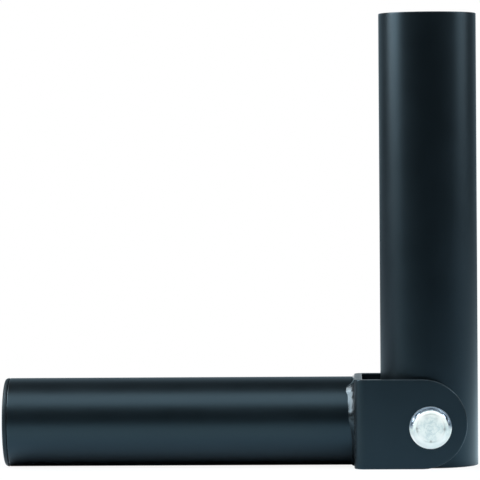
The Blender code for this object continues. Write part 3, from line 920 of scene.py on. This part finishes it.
def make_sleeve(coat):
    """Sleeve: a tube with rounded lips, the seam of its strip inside, and a hole for each bush end.

    The walls are one turned grid. Round each hole a window is left out of it, and a grid of rings
    in the plane across the hole fills the window, carried back on to the tube by y^2 = r^2 - x^2.
    """
    bore = sleeve_radius - SLEEVE_WALL
    top = sleeve_high.z
    window_low, window_high, window_turn = 8 * MM, 40 * MM, 32
    seam_turn, seam_width, seam_height = math.radians(38), 0.030, 0.14 * MM
    guard = TUBE_LIP + 0.2 * MM
    levels = np.concatenate(
        [
            [TUBE_LIP, guard, 3 * MM],
            np.linspace(window_low, window_high, 13),
            np.linspace(50 * MM, top - 4 * MM, 30),
            [top - guard, top - TUBE_LIP],
        ]
    )
    section = ring_section(bore, sleeve_radius, 0.0, top, TUBE_LIP, levels)
    turn = full_turn(STEPS)
    seam = bell(turn - seam_turn, seam_width) * seam_height
    in_bore = np.abs(section[:, 0] - bore) < SAME
    radius = section[:, :1] - np.where(in_bore[:, None], seam, 0.0)
    grid = carried_round(radius, section[:, 1], (pivot[0], 0, 0), "+Z")
    in_window = (section[:, 1] > window_low - SAME) & (section[:, 1] < window_high + SAME)
    keep = np.ones(grid.shape[:2], bool)
    shell = Shell()
    half_width = STEPS * window_turn // 360
    for way, middle in ((1, STEPS // 4), (-1, STEPS * 3 // 4)):
        columns = np.arange(middle - half_width, middle + half_width + 1)
        edges = []
        for wall in (sleeve_radius, bore):
            rows = np.flatnonzero((np.abs(section[:, 0] - wall) < SAME) & in_window)
            keep[rows[0] : rows[-1], columns[0] : columns[-1]] = False
            x, z = wall * np.cos(turn[columns]), section[rows, 1]
            loop = join(
                level(x, z[0]),
                upright(x[-1], z),
                level(x[::-1], z[-1]),
                upright(x[0], z[::-1]),
                closed=True,
            )
            if z[0] > z[-1]:
                loop = loop[::-1]
            rings = ringed(loop, (0.0, pivot[2]), rounded, bush_radius + JOINT_GAP, 9)
            y = way * np.sqrt(wall**2 - rings[..., 0] ** 2)
            placed = np.stack([rings[..., 0] + pivot[0], y, rings[..., 1]], -1)
            shell.add(placed)
            # Both walls' hole edges start at the same angle, so that they can be joined
            start = np.argmin(np.arctan2(rings[0, :, 1] - pivot[2], rings[0, :, 0]))
            edges.append(np.roll(placed[0], -start, 0))
        shell.add(np.stack(edges), 0.4)
    shell.add(grid, corner_share(section, True)[:, None], wrap_rows=True, keep=keep)
    shell.piece("bar_tube", coat, "sleeve", "powder_coat", "bar_sleeve")


def make_bush(coat):
    """Bush across the sleeve's foot."""
    half = (bush_high.y - bush_low.y) / 2
    section = ring_section(HOLE_RADIUS, bush_radius, -half, half, 0.4 * MM, rows=16)
    turned(section, pivot, "+Y", 160).piece("bush", coat, "sleeve", "powder_coat", "pivot_bush")


def make_bush_bead(way, name, node, coat):
    """Fillet between the bush and the sleeve's bore, a saddle as deep as the bore is round.

    At an angle t round the bush and a distance r from its axis, the bore lies at
    y = sqrt(bore^2 - (r cos t)^2). The bead's face goes from its toe on the bush to the bore.
    """
    steps, rows = 240, 12
    rise, leg, scallops = 2.5 * MM, 2.7 * MM, 13
    turn = full_turn(steps)
    bore = sleeve_radius - SLEEVE_WALL - SEAM
    inner = bush_radius + SEAM
    share = np.linspace(0, 1, rows)[:, None]
    swell = np.sin(math.pi * share)
    scallop = np.abs(np.sin(turn * scallops + 6.4 * (share - 0.4) ** 2))
    proud = swell * (0.25 + 0.16 * scallop) * MM
    crest = inner + rise * (1 + 0.05 * np.sin(4 * turn + 1))

    def wall(radius):
        """How far out the bore lies at this distance from the bush's axis."""
        return np.sqrt(bore**2 - (radius * np.cos(turn)) ** 2)

    toe = wall(inner) - leg
    radius = inner + (crest - inner) * share + proud * 0.7
    face = toe + (wall(crest) - toe) * share - proud * 0.7
    face = np.minimum(face, wall(radius))
    back = np.linspace(1, 0, 4)[1:, None]
    back_radius = inner + (crest - inner) * back
    radius = np.concatenate([radius, back_radius])
    depth = np.concatenate([face, wall(back_radius)])
    spoke = np.stack([radius * np.cos(turn), way * depth, radius * np.sin(turn)], -1)
    worn = np.append(0.3 * swell[:, 0], [0, 0, 0])[:, None]
    shell = Shell().add(pivot + spoke, worn, wrap_rows=True)
    shell.piece(name, coat, "sleeve", "powder_coat", node, crease=60)


# Room, lamps and camera


def make_floor():
    """Pale floor, dark towards the camera and fading to the left.

    The camera sees it white, but for the object's own soft shadow close to it. Mirrored rays see
    three places of it glow, as lit cards on it would: behind the object, beside it on the right,
    and ahead of the post.
    """
    size, drop = 9.0, 0.05 * MM
    dark, white = (0.05, 0.05, 0.05), (1.0, 1.0, 1.0)
    corners = [(-size, -size, -drop), (size, -size, -drop), (size, size, -drop), (-size, size, -drop)]
    mesh = bpy.data.meshes.new("floor")
    mesh.from_pydata(corners, [], [(0, 1, 2, 3)])
    floor = bpy.data.objects.new("floor", mesh)
    bpy.context.scene.collection.objects.link(floor)
    recipe = new_recipe("pale_floor")
    pale = recipe.blend(recipe.noise(40 * MM, 3.0), (0.72, 0.82, 0.90), (0.76, 0.86, 0.94))
    x, y, _ = recipe.parts(recipe.place())
    lit_part = y.step(-0.55, -0.20) * (0.6 + x.step(-1.10, -0.50) * 0.4)
    colour = recipe.blend(lit_part, dark, pale)
    matt = recipe.add("ShaderNodeBsdfDiffuse", None, {"Color": colour})
    seen, mirrored = recipe.looking()
    far = (x * x + y * y) ** 0.5
    behind = y.within(0.10, 0.30, 0.60, 1.30) * x.step(-0.45, -0.25)
    ahead = y.within(-0.32, -0.24, -0.06, -0.02) * (1.0 - x.step(-0.03, 0.02))
    aside = x.within(0.05, 0.09, 0.28, 0.48) * y.within(-0.15, 0.0, 0.25, 0.45)
    glowing = behind.larger(aside).larger(ahead * 0.16)
    share = seen * (0.90 + far.step(0.25, 0.50) * 0.10) + mirrored * glowing
    light_colour = recipe.blend(aside, (0.70, 0.90, 1.0), (1.4, 1.8, 2.0))
    light_colour = recipe.blend(ahead, light_colour, (2.6, 2.4, 1.8))
    light_colour = recipe.blend(seen, light_colour, white)
    glow = recipe.add("ShaderNodeEmission", None, {"Color": light_colour, "Strength": 1.0})
    mixed = recipe.add("ShaderNodeMixShader", None, {0: share, 1: matt, 2: glow})
    recipe.add("ShaderNodeOutputMaterial", None, {"Surface": mixed})
    mesh.materials.append(recipe.owner)


def make_room():
    """The world: white to the camera, and to other rays a dim room with a paler back wall.

    Mirrored rays that go straight back see white.
    """
    dim, wall, white = (0.024, 0.029, 0.032), (0.35, 0.48, 0.56), (1.0, 1.0, 1.0)
    world = bpy.data.worlds.new("studio")
    bpy.context.scene.world = world
    recipe = Recipe(world)
    _, back, _ = recipe.parts(recipe.add("ShaderNodeTexCoord", output="Generated"))
    seen, mirrored = recipe.looking()
    backdrop = recipe.blend(back.step(0.45, 0.95), dim, wall)
    shade = recipe.blend(seen + mirrored * back.step(0.98, 1.0), backdrop, white)
    surface = recipe.add("ShaderNodeBackground", None, {"Color": shade, "Strength": 1.0})
    recipe.add("ShaderNodeOutputWorld", None, {"Surface": surface})


def softbox(name, centre, aim, width, height, radiance):
    """A lamp that the camera doesn't see, width by height, facing from its centre to a point."""
    lamp = bpy.data.lights.new(name, "AREA")
    lamp.shape = "RECTANGLE"
    lamp.size, lamp.size_y = width, height
    lamp.energy = radiance * width * height * math.pi
    made = bpy.data.objects.new(name, lamp)
    bpy.context.scene.collection.objects.link(made)
    facing = Vector(aim) - Vector(centre)
    made.rotation_mode = "QUATERNION"
    made.rotation_quaternion = facing.to_track_quat("-Z", "Y")
    made.location = centre
    made.visible_camera = False


def light():
    """Tall softboxes left and right, a long one overhead, and two high ones that light the floor."""
    softbox("left_box", (-0.75, -0.04, 0.65), (0.02, -0.04, 0.65), 0.46, 0.80, 6.1)
    softbox("right_box", (0.80, -0.06, 0.64), (0.04, -0.06, 0.64), 0.38, 0.80, 2.8)
    softbox("overhead_box", (-0.05, -0.41, 0.84), (-0.05, 0.0, 0.03), 2.4, 0.60, 2.5)
    softbox("left_floor_box", (-0.95, 0.28, 1.10), (-0.05, -0.05, 0.0), 0.6, 0.5, 5.2)
    softbox("right_floor_box", (1.00, -0.30, 1.10), (0.0, -0.05, 0.0), 0.6, 0.5, 5.2)


def make_camera():
    """The photograph's camera, from a fit of the object's outlines: long lens, a little above."""
    yaw, pitch, roll = (math.radians(v) for v in (-1.963, 1.202, -0.42))
    focal, sensor, nearest, farthest = 260.24, 36.0, 0.05, 50.0
    place = Vector((pivot[0] - 39.185 * MM, -1964.63 * MM, 168.956 * MM))
    forward = Vector((math.sin(yaw), math.cos(yaw), 0))
    right = Vector((math.cos(yaw), -math.sin(yaw), 0))
    up = Vector((0, 0, 1))
    ahead = forward * math.cos(pitch) - up * math.sin(pitch)
    above = up * math.cos(pitch) + forward * math.sin(pitch)
    side = right * math.cos(roll) + above * math.sin(roll)
    crown = above * math.cos(roll) - right * math.sin(roll)
    turn = Matrix((side, crown, -ahead)).transposed().to_4x4()
    lens = bpy.data.cameras.new("camera")
    lens.sensor_width = sensor
    lens.lens = focal
    lens.clip_start, lens.clip_end = nearest, farthest
    camera = bpy.data.objects.new("camera", lens)
    bpy.context.scene.collection.objects.link(camera)
    camera.matrix_world = Matrix.Translation(place) @ turn
    bpy.context.scene.camera = camera


def dress():
    """Makes every finish and every piece."""
    tube_coat = powder_coat("tube_coat", (0.0019, 0.0030, 0.0039), 0.36)
    strip_coat = powder_coat("strip_coat", (0.0047, 0.0076, 0.0095), 0.37, 1.1)
    pooled = (22 * MM, 30 * MM)
    bead_coat = powder_coat("bead_coat", (0.006, 0.009, 0.011), 0.30, 0.6, pooled)
    # Radii of the polished ring, whose upper half carries a painted reflection and a painted shade
    # band
    burnished = (0.86 * head_radius, 0.99 * head_radius)
    bright = zinc_plate("bright_zinc", (0.90, 0.96, 0.91), 0.40, 0.10, burnished)
    plain = zinc_plate("plain_zinc", (0.74, 0.78, 0.80), 0.36, 0.95)
    make_post(tube_coat)
    make_post_bead(bead_coat)
    make_end_plug(moulded_plastic())
    make_clevis(strip_coat)
    make_bolt(bright)
    make_washer(plain)
    make_lock_nut(plain)
    make_lock_ring(nylon())
    make_sleeve(tube_coat)
    make_bush(tube_coat)
    make_bush_bead(-1, "bush_bead_front", "bush_weld_front", bead_coat)
    make_bush_bead(1, "bush_bead_back", "bush_weld_back", bead_coat)


dress()
make_floor()
make_room()
light()
make_camera()
bpy.context.scene.view_settings.view_transform = "Standard"
